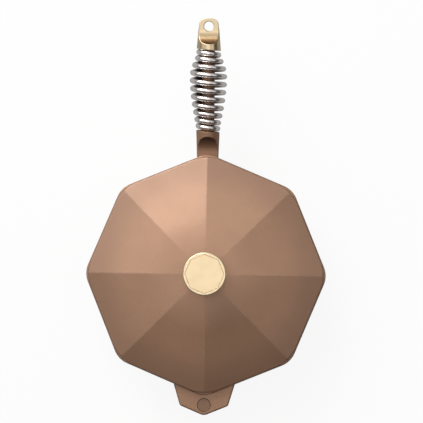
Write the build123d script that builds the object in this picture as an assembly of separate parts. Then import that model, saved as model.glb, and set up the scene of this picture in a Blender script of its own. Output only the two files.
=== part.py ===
from build123d import *
from math import cos, dist, hypot, pi, radians, sin, sqrt, tan
import os

# Everything is in millimetres. The origin is the centre of the flat underside of the pan,
# +Z is up and the handle points along +Y. A corner of the octagon lies on each axis.

# Pan
rim_across_flats = 263.2
rim_corner_radius = 27.0
base_across_flats = 220.0
base_corner_radius = 22.5
pan_height = 55.0
wall_thickness = 5.2
floor_thickness = 6.0
floor_fillet = 12.0
base_fillet = 4.0
rim_fillet = 1.2

# Helper tab on the front corner
tab_reach = 23.0
tab_root_width = 71.0
tab_shoulder_width = 56.0
tab_thickness = 9.0
tab_drop = 3.0
tab_tip_radius = 10.0
tab_shoulder_radius = 4.0
tab_root_radius = 4.0
tab_edge_radius = 2.0
medallion_diameter = 16.0
medallion_depth = 0.8
medallion_setback = 11.6

# Neck, collar and tang of the handle, cast with the pan
handle_rise_angle = 11.0
neck_length = 28.0
neck_width = 25.0
neck_thickness = 11.0
neck_drop = 4.5
neck_flare_radius = 10.0
collar_diameter = 27.5
collar_crest = 5.5
collar_scoop_foot = 24.0
seat_tilt = 5.3
tang_diameter = 15.0
tang_end_gap = 0.5

# Coil, wound left-handed round the tang
wire_diameter = 6.0
coil_space = 95.0
coil_end_diameter = 22.8
coil_middle_diameter = 37.8
coil_fullest_at = 0.33
coil_pitch = 9.3
coil_turns_between_ends = 10
coil_end_closing = 0.3
coil_seat_gap = 0.3
coil_rise_power = 1.5
coil_fall_power = 1.2

# End cap
cap_base_diameter = 28.3
cap_length = 36.5
cap_taper_angle = 4.9
cap_crest = 6.5
cap_scoop_foot = 23.5
cap_tab_thickness = 8.0
cap_end_arch_radius = 22.0
cap_corner_radius = 6.0
hang_hole_diameter = 11.2
hang_hole_setback = 9.4
hang_hole_chamfer = 0.6

# Stud between the tang and the end cap
stud_diameter = 8.0
stud_depth_in_cap = 12.0
stud_depth_in_tang = 20.0
stud_clearance = 0.1

# Lid
lid_rim_setback = 1.5
lid_corner_radius = 47.0
lid_edge_height = 5.0
lid_slope = 15.0
lid_bend_start = 66.0
lid_wall = 4.5
lid_edge_fillet = 1.8
lip_clearance = 0.7
lip_depth = 4.0
lip_thickness = 4.0
lip_fillet = 0.8
ring_across_flats = (70.0, 118.0, 166.0, 212.0)
ring_width = 3.0
ring_height = 2.0
boss_diameter = 24.0
boss_height = 3.0
pad_diameter = 27.0
pad_height = 0.8

# Knob and its screw
knob_diameter = 48.5
knob_height = 26.0
knob_disc_thickness = 5.5
knob_stem_diameter = 24.0
knob_waist_diameter = 17.0
knob_edge_chamfer = 0.8
knob_disc_dish = 1.0
knob_octagon_setback = 1.0
knob_groove_width = 0.7
knob_groove_depth = 0.4
screw_diameter = 6.0
screw_clearance = 0.15
screw_head_diameter = 12.0
screw_head_height = 3.6
screw_socket_across_flats = 4.0
screw_socket_depth = 2.0
screw_depth_in_knob = 14.0
washer_diameter = 16.0
washer_thickness = 1.5

# How far a cutter runs past the face it opens, and how near two lengths count as equal
overrun = 1.0
same = 0.01

half_corner_angle = 22.5
upward = (Align.CENTER, Align.CENTER, Align.MIN)
downward = (Align.CENTER, Align.CENTER, Align.MAX)
handle_rise = radians(handle_rise_angle)


def to_corner(across_flats, corner_radius=0.0):
    """Distance from the centre of a rounded octagon to a corner."""
    outward = cos(radians(half_corner_angle))
    return (across_flats / 2 - corner_radius) / outward + corner_radius


def octagon(across_flats, corner_radius):
    """Octagon with a rounded corner on each axis."""
    outline = RegularPolygon(across_flats / 2, 8, major_radius=False)
    return fillet(outline.vertices(), corner_radius)


def octagon_prism(across_flats, corner_radius, low, high):
    """Upright rounded octagon between two heights."""
    return Pos(0, 0, low) * extrude(octagon(across_flats, corner_radius), high - low)


rim_corner = to_corner(rim_across_flats, rim_corner_radius)
rim_sharp_corner = to_corner(rim_across_flats)
edge_slope = tan(radians(half_corner_angle))
lean = (rim_across_flats - base_across_flats) / 2 / pan_height


def wall_corner(height):
    """Distance from the centre to the sharp corner of the wall's outside at some height."""
    return to_corner(base_across_flats + 2 * lean * height)


def wall_prism(inset, corner_inset, low, high):
    """Leaning eight-sided block that follows the pan's wall, inset from its outside."""
    faces = []
    for height in (low, high):
        share = height / pan_height
        across = base_across_flats + 2 * (lean * height - inset)
        radius = base_corner_radius + share * (rim_corner_radius - base_corner_radius) - corner_inset
        faces.append(Pos(0, 0, height) * octagon(across, radius))
    return loft(faces, ruled=True)


def lowest_edges(solid):
    return solid.edges().group_by(Axis.Z)[0]


def pan_cavity():
    """Cooking space of the pan, open at the top."""
    cavity = wall_prism(wall_thickness, wall_thickness, floor_thickness, pan_height + overrun)
    return fillet(lowest_edges(cavity), floor_fillet)


def helper_tab():
    """Pointed tab under the front corner of the rim, with a bare round recess."""
    shoulder_x = tab_shoulder_width / 2
    tip_y = rim_corner + tab_reach
    sharp_tip_y = tip_y + tab_tip_radius * (1 / cos(radians(half_corner_angle)) - 1)
    shoulder_y = sharp_tip_y - shoulder_x * edge_slope
    rim_x = tab_root_width / 2
    side_slope = (rim_sharp_corner - rim_x * edge_slope - shoulder_y) / (rim_x - shoulder_x)
    corner = wall_corner(pan_height - tab_drop - tab_thickness / 2)
    root_x = (corner - shoulder_y + side_slope * shoulder_x) / (side_slope + edge_slope)
    root_y = corner - root_x * edge_slope
    outer_x = root_x + 3 * tab_root_radius
    outer_y = corner - outer_x * edge_slope - lean * tab_thickness
    inner_y = root_y - tab_root_width / 4
    right = [(outer_x, -inner_y), (outer_x, -outer_y), (root_x, -root_y), (shoulder_x, -shoulder_y)]
    left = [(-x, y) for x, y in reversed(right)]
    outline = make_face(Polyline(*right, (0, -sharp_tip_y), *left, close=True))
    corners = outline.vertices().sort_by(Axis.Y)
    outline = fillet(corners[0], tab_tip_radius)
    corners = outline.vertices().filter_by(lambda v: abs(abs(v.X) - shoulder_x) < same)
    outline = fillet(corners, tab_shoulder_radius)
    corners = outline.vertices().filter_by(lambda v: abs(abs(v.X) - root_x) < same)
    outline = fillet(corners, tab_root_radius)
    top = pan_height - tab_drop
    tab = Pos(0, 0, top - tab_thickness) * extrude(outline, tab_thickness)
    tab = fillet(tab.faces().sort_by(Axis.Z)[-1].edges(), tab_edge_radius)
    tab = fillet(tab.faces().sort_by(Axis.Z)[0].edges(), tab_edge_radius)
    recess = Cylinder(medallion_diameter / 2, 2 * medallion_depth)
    return tab - Pos(0, medallion_setback - tip_y, top) * recess


# The handle's own frame: its origin is the middle of the collar's seat, y runs along the
# handle away from the pan, x stays level and z is square to both.
seat_y = rim_corner + neck_length
neck_top_at_rim = pan_height - neck_drop
seat_z = neck_top_at_rim - neck_thickness / 2 / cos(handle_rise) + neck_length * tan(handle_rise)
handle_up = (0, -sin(handle_rise), cos(handle_rise))
handle_frame = Plane(origin=(0, seat_y, seat_z), x_dir=(1, 0, 0), z_dir=handle_up)
reach = 2 * (neck_length + coil_space + cap_length)


def beyond_seat(distance):
    """Half space past a tilted seat across the handle."""
    block = Box(reach, reach, reach, align=(Align.CENTER, Align.MIN, Align.CENTER))
    return Pos(0, distance, 0) * Rot(0, 0, -seat_tilt) * block


def scoop(crest, foot, crest_height, flat_height):
    """Cutter for a hollow ramp that leaves the crest and runs out on a flat at its foot."""
    drop = crest_height - flat_height
    run = foot - crest
    radius = (run**2 + drop**2) / (2 * drop)
    side = radius if run > 0 else -radius
    half_way = (foot - side * sin(pi / 4), flat_height + radius * (1 - cos(pi / 4)))
    high = (foot - side, flat_height + radius)
    far = foot + side + run
    ramp = ThreePointArc((foot, flat_height), half_way, high)
    outline = make_face(ramp + Polyline(high, (far, high[1]), (far, flat_height), (foot, flat_height)))
    return extrude(Plane.YZ * outline, reach, both=True)


def scooped_both_sides(bar, cutter):
    return bar - cutter - mirror(cutter, Plane.XY)


def shank():
    """Tapered round neck and collar, flared at the pan and scooped above and below."""
    root = neck_width / 2
    radius = collar_diameter / 2
    corner = (wall_corner(neck_top_at_rim - neck_thickness / 2) - seat_y) / cos(handle_rise)
    slope = edge_slope / cos(handle_rise)
    flare_x = root + neck_flare_radius
    flare_y = corner - flare_x * slope - lean * neck_thickness
    inner_y = flare_y - root
    front = [(0, radius), (radius, radius), (radius, 0), (root, corner - root * slope)]
    back = [(flare_x, flare_y), (flare_x, inner_y), (0, inner_y)]
    profile = make_face(Polyline(*front, *back, close=True))
    knee = profile.vertices().filter_by(lambda v: abs(v.X - root) < same)
    bar = revolve(fillet(knee, neck_flare_radius), Axis.Y)
    cutter = scoop(-collar_crest, -collar_scoop_foot, radius, neck_thickness / 2)
    return scooped_both_sides(bar, cutter) - beyond_seat(0)


def stud_bore(start, depth):
    """Bore along the handle for the stud."""
    bore = Cylinder(stud_diameter / 2 + stud_clearance, depth, align=upward)
    return Pos(0, start, 0) * Rot(-90, 0, 0) * bore


def tang():
    """Round bar inside the coil, bored at its end for the stud."""
    bar = Cylinder(tang_diameter / 2, reach, align=upward)
    bar = Pos(0, -collar_crest / 2, 0) * Rot(-90, 0, 0) * bar
    bar -= beyond_seat(coil_space - tang_end_gap)
    depth = stud_depth_in_tang + stud_clearance
    return bar - stud_bore(coil_space - depth, 2 * depth)


def pan_casting():
    """Pan, helper tab, shank and tang in one casting."""
    body = wall_prism(0, 0, 0, pan_height)
    body = fillet(lowest_edges(body), base_fillet)
    grip = handle_frame * (shank() + tang())
    casting = body + helper_tab() + grip - pan_cavity()
    rim_edges = casting.edges().filter_by(lambda e: abs(e.center().Z - pan_height) < same)
    return fillet(rim_edges, rim_fillet)


# The coil's centre line in the handle's frame. A turn count of 0 is the strand on top
# beside the end cap, and the count rises towards the collar.
coil_end_radius = coil_end_diameter / 2
seat_lift = wire_diameter / 2 / cos(radians(seat_tilt)) + coil_seat_gap


def coil_swell(share):
    """Fullness of the barrel, 0 at the ends and 1 at its widest turn."""
    share = min(max(share, 0.0), 1.0)
    if share < coil_fullest_at:
        return sin(pi / 2 * share / coil_fullest_at) ** coil_rise_power
    fall = pi / 2 * (share - coil_fullest_at) / (1 - coil_fullest_at)
    return max(cos(fall), 0.0) ** coil_fall_power


def coil_travel(turns):
    """Distance wound along the handle, with the pitch closing in towards both ends."""
    span = 1 - 2 * turns / coil_turns_between_ends
    closed = (1 - span * abs(span) ** 3) / 8
    return coil_pitch * (turns - coil_turns_between_ends * coil_end_closing * closed)


def coil_point(turns):
    """Centre of the wire after some turns."""
    swell = coil_swell(turns / coil_turns_between_ends)
    radius = coil_end_radius + swell * (coil_middle_diameter - coil_end_diameter) / 2
    angle = 2 * pi * turns
    middle = (coil_space + coil_travel(coil_turns_between_ends)) / 2 + coil_shift
    return Vector(radius * sin(angle), middle - coil_travel(turns), radius * cos(angle))


def coil_direction(turns):
    step = 1e-4
    return (coil_point(turns + step) - coil_point(turns - step)).normalized()


# The wire's first quarter and its straight end must clear the end cap's tilted seat.
coil_shift = 0.0
coil_first = -0.25
coil_last = coil_turns_between_ends + 0.25
cap_side_end = coil_point(coil_first) - coil_direction(coil_first) * wire_diameter
coil_shift = coil_space - seat_lift - cap_side_end.X * tan(radians(seat_tilt)) - cap_side_end.Y


def biarc(start, end):
    """Two tangent arcs along the centre line between two turn counts."""
    p, q = coil_point(start), coil_point(end)
    u, v = coil_direction(start), coil_direction(end)
    chord = q - p
    tangents = u + v
    bend = 2 * (1 - u.dot(v))
    along = chord.dot(tangents)
    arm = (sqrt(along**2 + bend * chord.dot(chord)) - along) / bend
    first_knee = p + u * arm
    second_knee = q - v * arm
    middle = (first_knee + second_knee) * 0.5
    heading = second_knee - first_knee
    return [Edge.make_tangent_arc(p, u, middle), Edge.make_tangent_arc(middle, heading, q)]


def handle_coil():
    """Barrel of one wire wound left-handed, with a straight clipped length at each end."""
    start = coil_point(coil_first)
    end = coil_point(coil_last)
    clipped_start = start - coil_direction(coil_first) * wire_diameter
    clipped_end = end + coil_direction(coil_last) * wire_diameter
    edges = [Edge.make_line(clipped_start, start)]
    halves = round(2 * (coil_last - coil_first))
    counts = [coil_first + (coil_last - coil_first) * i / halves for i in range(halves + 1)]
    for before, after in zip(counts, counts[1:]):
        edges += biarc(before, after)
    edges.append(Edge.make_line(end, clipped_end))
    path = Wire(edges)
    section = Plane(origin=clipped_start, z_dir=coil_direction(coil_first)) * Circle(wire_diameter / 2)
    coil = sweep(section, path)
    ratio = coil.volume / (path.length * pi * wire_diameter**2 / 4)
    print("coil length", round(path.length, 1), "volume over section times length", round(ratio, 5))
    return handle_frame * coil


def coil_least_gap():
    """Least clear distance between neighbouring turns, measured on points of the centre line."""
    steps_per_turn = 36
    count = round((coil_last - coil_first) * steps_per_turn)
    points = [tuple(coil_point(coil_first + i / steps_per_turn)) for i in range(count + 1)]
    apart = steps_per_turn // 2
    nearest = min(dist(a, b) for i, a in enumerate(points) for b in points[i + apart :])
    return nearest - wire_diameter


def end_cap():
    """Tapered round cap, scooped above and below to a tab with a hanging hole."""
    base_radius = cap_base_diameter / 2
    taper = tan(radians(cap_taper_angle))
    early = base_radius * tan(radians(seat_tilt)) + overrun
    length = cap_length + overrun
    points = [(0, -early), (base_radius + early * taper, -early)]
    points += [(base_radius - length * taper, length), (0, length)]
    bar = revolve(make_face(Polyline(*points, close=True)), Axis.Y)
    half_tab = cap_tab_thickness / 2
    crest_radius = base_radius - cap_crest * taper
    bar = scooped_both_sides(bar, scoop(cap_crest, cap_scoop_foot, crest_radius, half_tab))
    arch_centre = cap_length - cap_end_arch_radius
    plan = Pos(0, arch_centre) * Circle(cap_end_arch_radius)
    plan += Pos(0, arch_centre) * Rectangle(reach, reach, align=(Align.CENTER, Align.MAX))
    bar &= extrude(plan, reach / 4, both=True)
    outer = bar.faces().sort_by(Axis.Y)[-1]
    tip_edges = outer.edges().filter_by(lambda e: abs(e.center().Z) < same)
    bar = fillet(tip_edges, cap_corner_radius)
    hole = Pos(0, cap_length - hang_hole_setback, 0) * Cylinder(hang_hole_diameter / 2, reach)
    flare = Cone(0, hang_hole_diameter, hang_hole_diameter, align=upward)
    sunk = half_tab - hang_hole_diameter / 2 - hang_hole_chamfer
    flare = Pos(0, cap_length - hang_hole_setback, sunk) * flare
    bar = scooped_both_sides(bar - hole, flare)
    bar &= beyond_seat(0)
    depth = stud_depth_in_cap + stud_clearance
    bar -= stud_bore(-depth, 2 * depth)
    return handle_frame * Pos(0, coil_space, 0) * bar


def cap_stud():
    """Plain stud that joins the tang and the end cap."""
    length = stud_depth_in_tang + stud_depth_in_cap
    stud = Cylinder(stud_diameter / 2, length, align=upward)
    stud = chamfer(stud.edges(), stud_diameter / 10)
    return handle_frame * Pos(0, coil_space - stud_depth_in_tang, 0) * Rot(-90, 0, 0) * stud


# Lid
lid_across_flats = rim_across_flats - 2 * lid_rim_setback
lid_edge_top = pan_height + lid_edge_height
slope = radians(lid_slope)
bend_radius = lid_bend_start / sin(slope)
lid_rise = (lid_across_flats / 2 - lid_bend_start) * tan(slope) + bend_radius * (1 - cos(slope))
crown_z = lid_edge_top + lid_rise
crown_under_z = crown_z - lid_wall
boss_under_z = crown_under_z - boss_height
pad_z = crown_z + pad_height


def barrel(depth, angle):
    """One barrel vault, a rounded ridge with straight slopes, sunk by some depth."""
    radius = bend_radius - depth
    centre_z = crown_z - bend_radius
    bend_x = radius * sin(slope)
    bend_z = centre_z + radius * cos(slope)
    far_x = 0.6 * rim_across_flats
    far_z = bend_z - (far_x - bend_x) * tan(slope)
    crown = ThreePointArc((-bend_x, bend_z), (0, centre_z + radius), (bend_x, bend_z))
    right = [(bend_x, bend_z), (far_x, far_z), (far_x, 0)]
    left = [(-x, z) for x, z in reversed(right)]
    outline = make_face(crown + Polyline(*right, *left))
    return Rot(0, 0, angle) * extrude(Plane.XZ * outline, rim_across_flats, both=True)


def vault(depth=0.0):
    """Eight-sided vault: four barrel vaults that cross at half a right angle."""
    whole = barrel(depth, half_corner_angle)
    for quarter in range(1, 4):
        whole &= barrel(depth, half_corner_angle + 45 * quarter)
    return whole


lip_across_flats = rim_across_flats - 2 * (wall_thickness + lean * lip_depth + lip_clearance)
lip_corner_radius = rim_corner_radius - wall_thickness
lip_z = pan_height - lip_depth
hollow_across_flats = lip_across_flats - 2 * lip_thickness
hollow_corner_radius = lip_corner_radius - lip_thickness


def drip_rings(hollow):
    """Eight-sided ribs under the lid that follow the vault."""
    band = hollow - Pos(0, 0, -ring_height) * hollow
    rings = []
    for across in ring_across_flats:
        outer = octagon_prism(across, hollow_corner_radius, lip_z, crown_z)
        inner = octagon_prism(across - 2 * ring_width, hollow_corner_radius - ring_width, lip_z, crown_z)
        rings.append(band & (outer - inner))
    return rings


def on_lid_edge(edge):
    """Whether an edge of the vault runs along its outline, above its flat underside."""
    nearest = min(hypot(v.X, v.Y) for v in edge.vertices())
    return nearest > lid_across_flats / 2 - same and edge.center().Z > pan_height + lid_edge_height / 2


def lid_casting():
    """Lid: faceted vault, locating lip, drip rings, and a boss and pad for the knob."""
    body = vault() & octagon_prism(lid_across_flats, lid_corner_radius, pan_height, crown_z + overrun)
    body = fillet(body.edges().filter_by(on_lid_edge), lid_edge_fillet)
    body += octagon_prism(lip_across_flats, lip_corner_radius, lip_z, pan_height + lip_thickness)
    body = fillet(lowest_edges(body), lip_fillet)
    hollow = vault(lid_wall) & octagon_prism(hollow_across_flats, hollow_corner_radius, lip_z - overrun, crown_z)
    body -= hollow
    for ring in drip_rings(hollow):
        body += ring
    boss = Pos(0, 0, boss_under_z) * Cylinder(boss_diameter / 2, crown_z - boss_under_z, align=upward)
    pad = Pos(0, 0, crown_under_z) * Cylinder(pad_diameter / 2, pad_z - crown_under_z, align=upward)
    bore = Cylinder(screw_diameter / 2 + screw_clearance, 2 * pad_z, align=upward)
    return body + boss + pad - bore


def lid_knob():
    """Turned brass knob: a flat disc on a waisted stem, with an eight-sided line on its top."""
    radius = knob_diameter / 2
    stem = knob_stem_diameter / 2
    waist = knob_waist_diameter / 2
    under = knob_height - knob_disc_thickness
    throat = radius - knob_disc_thickness / 2
    foot = knob_edge_chamfer
    throat_z = under - knob_disc_dish
    flare = ThreePointArc((stem, foot), (waist, under / 2), (throat, throat_z))
    rim_z = knob_height - knob_edge_chamfer
    disc = [(throat, throat_z), (radius, under), (radius, rim_z), (radius - knob_edge_chamfer, knob_height)]
    rest = disc + [(0, knob_height), (0, 0), (stem, 0), (stem, foot)]
    knob = revolve(Plane.XZ * make_face(flare + Polyline(*rest)), Axis.Z)
    field = radius - knob_edge_chamfer - knob_octagon_setback
    line = RegularPolygon(field, 8) - RegularPolygon(field - knob_groove_width, 8)
    knob -= Pos(0, 0, knob_height - knob_groove_depth) * extrude(line, 2 * knob_groove_depth)
    bore = Cylinder(screw_diameter / 2 + screw_clearance, 2 * (screw_depth_in_knob + screw_clearance))
    return Pos(0, 0, pad_z) * (knob - bore)


def knob_washer():
    """Flat washer under the boss."""
    ring = Circle(washer_diameter / 2) - Circle(screw_diameter / 2 + screw_clearance)
    return Pos(0, 0, boss_under_z - washer_thickness) * extrude(ring, washer_thickness)


def knob_screw():
    """Round-headed socket screw that comes up through the lid into the knob."""
    seat = boss_under_z - washer_thickness
    head = Pos(0, 0, seat) * Cylinder(screw_head_diameter / 2, screw_head_height, align=downward)
    head = fillet(lowest_edges(head), screw_head_height / 2)
    socket = RegularPolygon(screw_socket_across_flats / 2, 6, major_radius=False)
    head -= Pos(0, 0, seat - screw_head_height) * extrude(socket, screw_socket_depth)
    length = pad_z + screw_depth_in_knob - seat
    return head + Pos(0, 0, seat) * Cylinder(screw_diameter / 2, length, align=upward)


def nodes():
    """Every piece by name."""
    return {
        "pan_casting": pan_casting,
        "handle_coil": handle_coil,
        "cap_stud": cap_stud,
        "end_cap": end_cap,
        "lid_casting": lid_casting,
        "lid_knob": lid_knob,
        "knob_washer": knob_washer,
        "knob_screw": knob_screw,
    }


os.makedirs("parts", exist_ok=True)
print("coil least gap to itself", round(coil_least_gap(), 2))
for name, make in nodes().items():
    export_step(make(), f"parts/{name}.step")
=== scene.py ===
from math import atan2, cos, hypot, pi, radians, sin, tan

import bmesh
import bpy
from mathutils import Matrix, Vector


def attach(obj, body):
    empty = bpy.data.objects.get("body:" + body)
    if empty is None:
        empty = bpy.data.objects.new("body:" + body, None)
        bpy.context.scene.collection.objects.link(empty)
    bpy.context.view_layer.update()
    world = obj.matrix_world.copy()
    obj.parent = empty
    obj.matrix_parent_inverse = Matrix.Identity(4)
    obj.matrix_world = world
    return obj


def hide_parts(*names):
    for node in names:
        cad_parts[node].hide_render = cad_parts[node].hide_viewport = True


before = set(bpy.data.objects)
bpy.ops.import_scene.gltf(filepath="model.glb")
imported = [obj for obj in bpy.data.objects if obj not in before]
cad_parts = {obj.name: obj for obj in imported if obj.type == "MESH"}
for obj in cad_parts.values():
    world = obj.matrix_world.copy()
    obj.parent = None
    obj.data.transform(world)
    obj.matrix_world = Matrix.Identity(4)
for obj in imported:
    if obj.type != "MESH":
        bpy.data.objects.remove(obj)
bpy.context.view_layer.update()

# Eight-sided cast iron skillet with a lid. Metres, +Z up, the handle along +Y, the origin in
# the middle of the pan's flat underside and a corner of the octagon on each axis.

mm = 0.001
half_corner = pi / 8

# Pan
base_half_width = 110.0 * mm
rim_half_width = 131.6 * mm
rim_corner = 27.0 * mm
rim_edge = 1.2 * mm
base_edge = 4.0 * mm
pan_height = 55.0 * mm
wall = 5.2 * mm
floor_top = 6.0 * mm
floor_edge = 12.0 * mm
lean = (rim_half_width - base_half_width) / pan_height
rim_sharp_corner = rim_half_width / cos(half_corner)
rim_round_corner = (rim_half_width - rim_corner) / cos(half_corner) + rim_corner

# Helper tab
tab_top = pan_height - 3.0 * mm
tab_thickness = 9.0 * mm
tab_root = 35.5 * mm
tab_shoulder = 28.0 * mm
tab_tip = rim_round_corner + 23.0 * mm
tab_tip_round = 10.0 * mm
tab_fillet = 4.0 * mm
tab_edge = 2.0 * mm
medallion_radius = 8.0 * mm
medallion_depth = 0.8 * mm
medallion_y = -tab_tip + 11.6 * mm

# Handle. In its own frame y runs away from the pan, x stays level and the origin is the
# middle of the collar's seat.
handle_rise = radians(11)
neck_length = 28.0 * mm
neck_half_width = 12.5 * mm
neck_half_thickness = 5.5 * mm
neck_flare = 10.0 * mm
neck_top = pan_height - 4.5 * mm
seat_tilt = radians(5.3)
collar_radius = 13.75 * mm
collar_crest = 5.5 * mm
collar_scoop_foot = 24.0 * mm
scoop_edge = 0.6 * mm
tang_radius = 7.5 * mm
tang_gap = 0.5 * mm
stud_bore_radius = 4.1 * mm
bore_in_tang = 20.1 * mm
bore_in_cap = 12.1 * mm
seat_y = rim_round_corner + neck_length
seat_z = neck_top - neck_half_thickness / cos(handle_rise) + neck_length * tan(handle_rise)
handle_place = Matrix.Translation((0, seat_y, seat_z)) @ Matrix.Rotation(handle_rise, 4, "X")

# Coil
wire_radius = 3.0 * mm
coil_space = 95.0 * mm
coil_end_radius = 11.4 * mm
coil_middle_radius = 18.9 * mm
coil_fullest_at = 0.33
coil_rise_power = 1.5
coil_fall_power = 1.2
coil_pitch = 9.3 * mm
coil_turns = 10
coil_overhang = 0.25
coil_end_closing = 0.3
coil_seat_gap = 0.3 * mm

# End cap
cap_radius = 14.15 * mm
cap_length = 36.5 * mm
cap_taper = tan(radians(4.9))
cap_crest = 6.5 * mm
cap_foot = 23.5 * mm
cap_tab_half = 4.0 * mm
cap_arch = 22.0 * mm
cap_arch_spread = radians(16)
cap_corner = 6.0 * mm
cap_skin = 0.3 * mm
cap_smoothing = 14
hole_radius = 5.6 * mm
hole_y = cap_length - 9.4 * mm

# Lid
lid_half_width = 130.1 * mm
lid_corner = 47.0 * mm
lid_edge = 5.0 * mm
lid_upper_round = 1.8 * mm
lid_lower_round = 0.5 * mm
ridge_width = 1.1 * mm
lid_slope = radians(15)
lid_bend_start = 66.0 * mm
lid_wall = 4.5 * mm
bend_radius = lid_bend_start / sin(lid_slope)
lid_rise = (lid_half_width - lid_bend_start) * tan(lid_slope) + bend_radius * (1 - cos(lid_slope))
crown = pan_height + lid_edge + lid_rise
lip_bottom = pan_height - 4.0 * mm
lip_half_width = rim_half_width - wall - lean * 4.0 * mm - 0.7 * mm
lip_corner = 21.8 * mm
hollow_half_width = lip_half_width - 4.0 * mm
hollow_corner = 17.8 * mm
rib_half_widths = (35 * mm, 59 * mm, 83 * mm, 106 * mm)
rib_width = 3.0 * mm
rib_depth = 2.0 * mm
rib_edge = 0.9 * mm
boss_radius = 12.0 * mm
boss_bottom = crown - lid_wall - 3.0 * mm
pad_radius = 13.5 * mm
pad_top = crown + 0.8 * mm

# Knob, screw and washer
knob_radius = 24.25 * mm
knob_top = pad_top + 26.0 * mm
disc_height = 5.5 * mm
disc_edge = 1.1 * mm
waist_radius = 8.5 * mm
waist_height = 10.25 * mm
stem_radius = 12.0 * mm
groove_half_width = 20.45 * mm
screw_radius = 3.0 * mm
screw_bore = 3.15 * mm
screw_in_knob = 14.0 * mm
head_radius = 6.0 * mm
head_height = 3.6 * mm
washer_radius = 8.0 * mm
washer_bottom = boss_bottom - 1.5 * mm

# How far a cutter runs past the face that it opens
overrun = 5.0 * mm

# Camera, almost straight above the lid
camera_place = (0.0445, -0.0159, 1.7)
camera_turn = (radians(-3.11), radians(-1.35), radians(-0.77))
camera_lens = 120.1


# Modelling

def start():
    """Leaves edit mode with nothing selected."""
    if bpy.context.mode != "OBJECT":
        bpy.ops.object.mode_set(mode="OBJECT")
    bpy.ops.object.select_all(action="DESELECT")


def activate(piece):
    """Leaves one piece selected and active."""
    start()
    piece.select_set(True)
    bpy.context.view_layer.objects.active = piece


def edit(piece):
    activate(piece)
    bpy.ops.object.mode_set(mode="EDIT")
    bpy.ops.mesh.select_mode(type="VERT")
    bpy.ops.mesh.select_all(action="SELECT")


def face_outward():
    """Turns all faces of the mesh in edit mode outward and leaves edit mode."""
    bpy.ops.mesh.select_all(action="SELECT")
    bpy.ops.mesh.normals_make_consistent(inside=False)
    bpy.ops.object.mode_set(mode="OBJECT")


def weld():
    """Joins vertices that a cut left almost in one place and leaves edit mode."""
    bpy.ops.mesh.select_all(action="SELECT")
    bpy.ops.mesh.remove_doubles(threshold=0.01 * mm)
    bpy.ops.mesh.dissolve_degenerate(threshold=0.005 * mm)
    bpy.ops.object.mode_set(mode="OBJECT")


def close(name):
    """Leaves edit mode, names the piece and puts its place into its mesh."""
    bpy.ops.mesh.select_all(action="SELECT")
    bpy.ops.mesh.remove_doubles(threshold=0.0005 * mm)
    face_outward()
    piece = bpy.context.object
    piece.name = name
    piece.data.name = name
    bpy.ops.object.transform_apply(location=True, rotation=True, scale=True)
    return piece


def pick_vertices(test):
    """Selects the vertices of the mesh in edit mode that pass a test of their place."""
    bpy.ops.mesh.select_mode(type="VERT")
    bpy.ops.mesh.select_all(action="DESELECT")
    mesh = bmesh.from_edit_mesh(bpy.context.object.data)
    for vertex in mesh.verts:
        if test(vertex.co):
            vertex.select_set(True)
    mesh.select_flush(True)
    bmesh.update_edit_mesh(bpy.context.object.data)


def pick_edges(test):
    """Selects the edges of the mesh in edit mode that pass a test."""
    bpy.ops.mesh.select_mode(type="EDGE")
    bpy.ops.mesh.select_all(action="DESELECT")
    mesh = bmesh.from_edit_mesh(bpy.context.object.data)
    for edge in mesh.edges:
        if test(edge):
            edge.select_set(True)
    bmesh.update_edit_mesh(bpy.context.object.data)


def rounded(corners, steps=5):
    """Profile through corners given as (half width, height, radius), with arcs at the corners."""
    points = []
    for i, (across, height, radius) in enumerate(corners):
        here = Vector((across, height))
        if radius == 0:
            points.append((across, height))
            continue
        back = (Vector(corners[i - 1][:2]) - here).normalized()
        ahead = (Vector(corners[(i + 1) % len(corners)][:2]) - here).normalized()
        half = back.angle(ahead) / 2
        centre = here + (back + ahead).normalized() * (radius / sin(half))
        first = here + back * (radius / tan(half)) - centre
        last = here + ahead * (radius / tan(half)) - centre
        begin = atan2(first.y, first.x)
        turn = (atan2(last.y, last.x) - begin + pi) % (2 * pi) - pi
        for k in range(steps + 1):
            angle = begin + turn * k / steps
            points.append((centre.x + radius * cos(angle), centre.y + radius * sin(angle)))
    return points


def rings(profile, longest):
    """The same profile with its long straight parts divided."""
    points = profile[:1]
    for (across, height), (next_across, next_height) in zip(profile, profile[1:]):
        wider, higher = next_across - across, next_height - height
        parts = max(1, round(hypot(wider, higher) / longest))
        for k in range(1, parts + 1):
            share = k / parts
            points.append((across + wider * share, height + higher * share))
    return points


def arc_through(a, b, c, steps):
    """Points along the circle through three points."""
    (ax, ay), (bx, by), (cx, cy) = a, b, c
    d = 2 * (ax * (by - cy) + bx * (cy - ay) + cx * (ay - by))
    a2, b2, c2 = ax**2 + ay**2, bx**2 + by**2, cx**2 + cy**2
    ux = (a2 * (by - cy) + b2 * (cy - ay) + c2 * (ay - by)) / d
    uy = (a2 * (cx - bx) + b2 * (ax - cx) + c2 * (bx - ax)) / d
    radius = hypot(ax - ux, ay - uy)
    begin = atan2(ay - uy, ax - ux)
    middle = (atan2(by - uy, bx - ux) - begin + pi) % (2 * pi) - pi
    turn = (atan2(cy - uy, cx - ux) - begin) % (2 * pi)
    if middle < 0:
        turn -= 2 * pi
    angles = [begin + turn * k / steps for k in range(steps + 1)]
    return [(ux + radius * cos(angle), uy + radius * sin(angle)) for angle in angles]


def round_ring(half_width, height, fill, sides):
    """A circle, filled or open, ready to be drawn out."""
    bpy.ops.mesh.primitive_circle_add(vertices=sides, radius=half_width, fill_type=fill,
                                      enter_editmode=True, location=(0, 0, height))


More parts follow.
